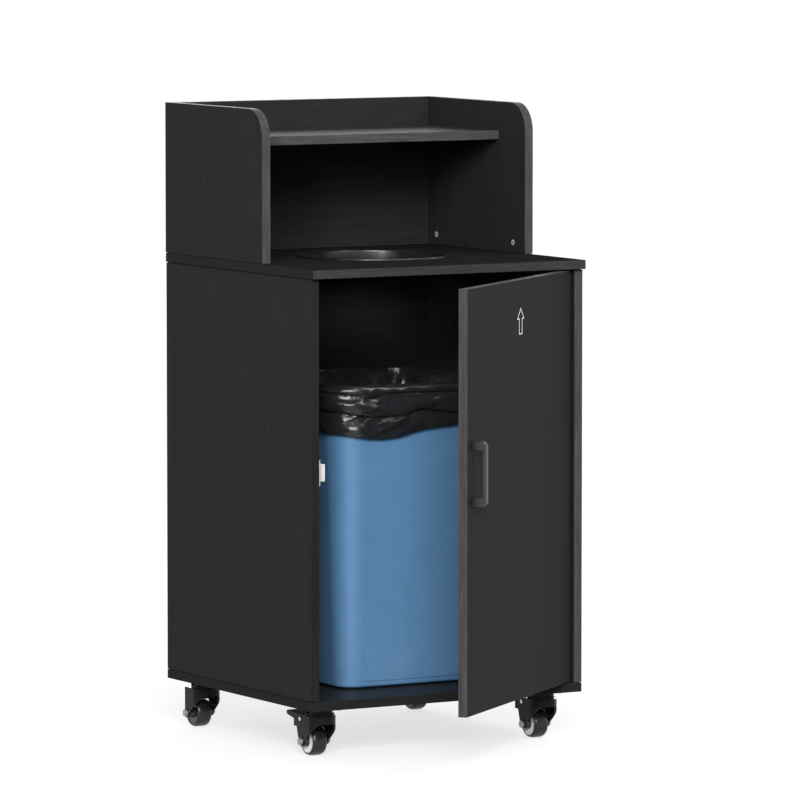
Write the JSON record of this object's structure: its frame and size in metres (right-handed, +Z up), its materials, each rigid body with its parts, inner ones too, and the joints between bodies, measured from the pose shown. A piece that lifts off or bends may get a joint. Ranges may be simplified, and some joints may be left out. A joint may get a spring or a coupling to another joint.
{
  "type": "waste bin cabinet",
  "caption": "Wheeled black board cabinet with a hinged door, a drop ring in its counter, an upper shelf unit and a lined blue bin inside.",
  "frame": {"origin": "on the floor, in the middle of the footprint of the cabinet with its door part open", "axes": "+Z up, the cabinet faces -Y, +X to the right of someone who faces the door"},
  "size_m": [0.546, 0.842, 1.1154],
  "materials": {
    "black_board": "charcoal-black wood-grain melamine board with satin edge banding",
    "ring_plastic": "black satin-gloss moulded plastic",
    "handle_metal": "black powder coat",
    "catch_plastic": "white moulded plastic",
    "hinge_steel": "nickel-plated pressed steel",
    "zinc_steel": "zinc-plated steel",
    "caster_black": "glossy black enamel on pressed steel",
    "tyre_black": "smooth black rubber tread",
    "hub_white": "white moulded plastic",
    "bin_blue": "blue moulded polyethylene, satin",
    "liner_film": "thin glossy black polyethylene film"
  },
  "bodies": {
    "cabinet": {"bottom_panel": "black_board", "left_side_panel": "black_board", "right_side_panel": "black_board", "back_panel": "black_board", "countertop": "black_board", "hutch_left_panel": "black_board", "hutch_right_panel": "black_board", "hutch_back_panel": "black_board", "hutch_shelf": "black_board", "drop_ring": "ring_plastic", "magnetic_catch": "catch_plastic", "catch_magnet": "zinc_steel", "lower_hinge_plate": "hinge_steel", "lower_hinge_arm": "hinge_steel", "lower_arm_pin": "zinc_steel", "upper_hinge_plate": "hinge_steel", "upper_hinge_arm": "hinge_steel", "upper_arm_pin": "zinc_steel", "front_left_caster_plate": "caster_black", "front_left_kingpin": "zinc_steel", "front_right_caster_plate": "caster_black", "front_right_kingpin": "zinc_steel", "rear_left_caster_plate": "caster_black", "rear_left_kingpin": "zinc_steel", "rear_right_caster_plate": "caster_black", "rear_right_kingpin": "zinc_steel"},
    "hinge_links": {"lower_hinge_link": "hinge_steel", "upper_hinge_link": "hinge_steel"},
    "door": {"door_panel": "black_board", "door_handle": "handle_metal", "lower_handle_screw": "zinc_steel", "upper_handle_screw": "zinc_steel", "strike_plate": "zinc_steel", "lower_hinge_cup": "hinge_steel", "lower_cup_pin": "zinc_steel", "upper_hinge_cup": "hinge_steel", "upper_cup_pin": "zinc_steel"},
    "bin": {"waste_bin": "bin_blue", "bin_liner": "liner_film"},
    "front_left_caster": {"front_left_caster_fork": "caster_black", "front_left_axle_bolt": "zinc_steel", "front_left_pedal_pin": "zinc_steel"},
    "front_left_wheel": {"front_left_wheel_hub": "hub_white", "front_left_tyre": "tyre_black"},
    "front_right_caster": {"front_right_caster_fork": "caster_black", "front_right_axle_bolt": "zinc_steel", "front_right_pedal_pin": "zinc_steel"},
    "front_right_wheel": {"front_right_wheel_hub": "hub_white", "front_right_tyre": "tyre_black"},
    "rear_left_caster": {"rear_left_caster_fork": "caster_black", "rear_left_axle_bolt": "zinc_steel"},
    "rear_left_wheel": {"rear_left_wheel_hub": "ring_plastic", "rear_left_tyre": "tyre_black"},
    "rear_right_caster": {"rear_right_caster_fork": "caster_black", "rear_right_axle_bolt": "zinc_steel"},
    "rear_right_wheel": {"rear_right_wheel_hub": "ring_plastic", "rear_right_tyre": "tyre_black"},
    "front_left_brake": {"front_left_brake_pedal": "caster_black"},
    "front_right_brake": {"front_right_brake_pedal": "caster_black"}
  },
  "joints": [
    {"name": "hinge_link_swing", "type": "hinge", "parent": "cabinet", "child": "hinge_links", "pos_m": [0.2175, -0.07101, 0.4675], "axis": [0, 0, 1], "range_deg": [-11.4, 7.8]},
    {"name": "door_swing", "type": "hinge", "parent": "hinge_links", "child": "door", "pos_m": [0.23681, -0.09985, 0.4675], "axis": [0, 0, 1], "range_deg": [-46.2, 67.8]},
    {"name": "bin_lift", "type": "slide", "parent": "cabinet", "child": "bin", "axis": [0, 0, 1], "range_m": [0, 0.06]},
    {"name": "front_left_swivel", "type": "hinge", "parent": "cabinet", "child": "front_left_caster", "pos_m": [-0.2235, -0.05381, 0.0839], "axis": [0, 0, 1], "continuous": true},
    {"name": "front_left_spin", "type": "hinge", "parent": "front_left_caster", "child": "front_left_wheel", "pos_m": [-0.2235, -0.02831, 0.0255], "axis": [1, 0, 0], "continuous": true},
    {"name": "front_right_swivel", "type": "hinge", "parent": "cabinet", "child": "front_right_caster", "pos_m": [0.2235, -0.05381, 0.0839], "axis": [0, 0, 1], "continuous": true},
    {"name": "front_right_spin", "type": "hinge", "parent": "front_right_caster", "child": "front_right_wheel", "pos_m": [0.2235, -0.02831, 0.0255], "axis": [1, 0, 0], "continuous": true},
    {"name": "rear_left_swivel", "type": "hinge", "parent": "cabinet", "child": "rear_left_caster", "pos_m": [-0.2235, 0.36779, 0.0839], "axis": [0, 0, 1], "continuous": true},
    {"name": "rear_left_spin", "type": "hinge", "parent": "rear_left_caster", "child": "rear_left_wheel", "pos_m": [-0.2235, 0.39329, 0.0255], "axis": [1, 0, 0], "continuous": true},
    {"name": "rear_right_swivel", "type": "hinge", "parent": "cabinet", "child": "rear_right_caster", "pos_m": [0.2235, 0.36779, 0.0839], "axis": [0, 0, 1], "continuous": true},
    {"name": "rear_right_spin", "type": "hinge", "parent": "rear_right_caster", "child": "rear_right_wheel", "pos_m": [0.2235, 0.39329, 0.0255], "axis": [1, 0, 0], "continuous": true},
    {"name": "front_left_brake_press", "type": "hinge", "parent": "front_left_caster", "child": "front_left_brake", "pos_m": [-0.2235, -0.02631, 0.065], "axis": [1, 0, 0], "range_deg": [-13, 0]},
    {"name": "front_right_brake_press", "type": "hinge", "parent": "front_right_caster", "child": "front_right_brake", "pos_m": [0.2235, -0.02631, 0.065], "axis": [1, 0, 0], "range_deg": [-13, 0]}
  ],
  "couplings": [
    {"joint": "hinge_link_swing", "follows": "door_swing", "ratio": -0.16667}
  ]
}
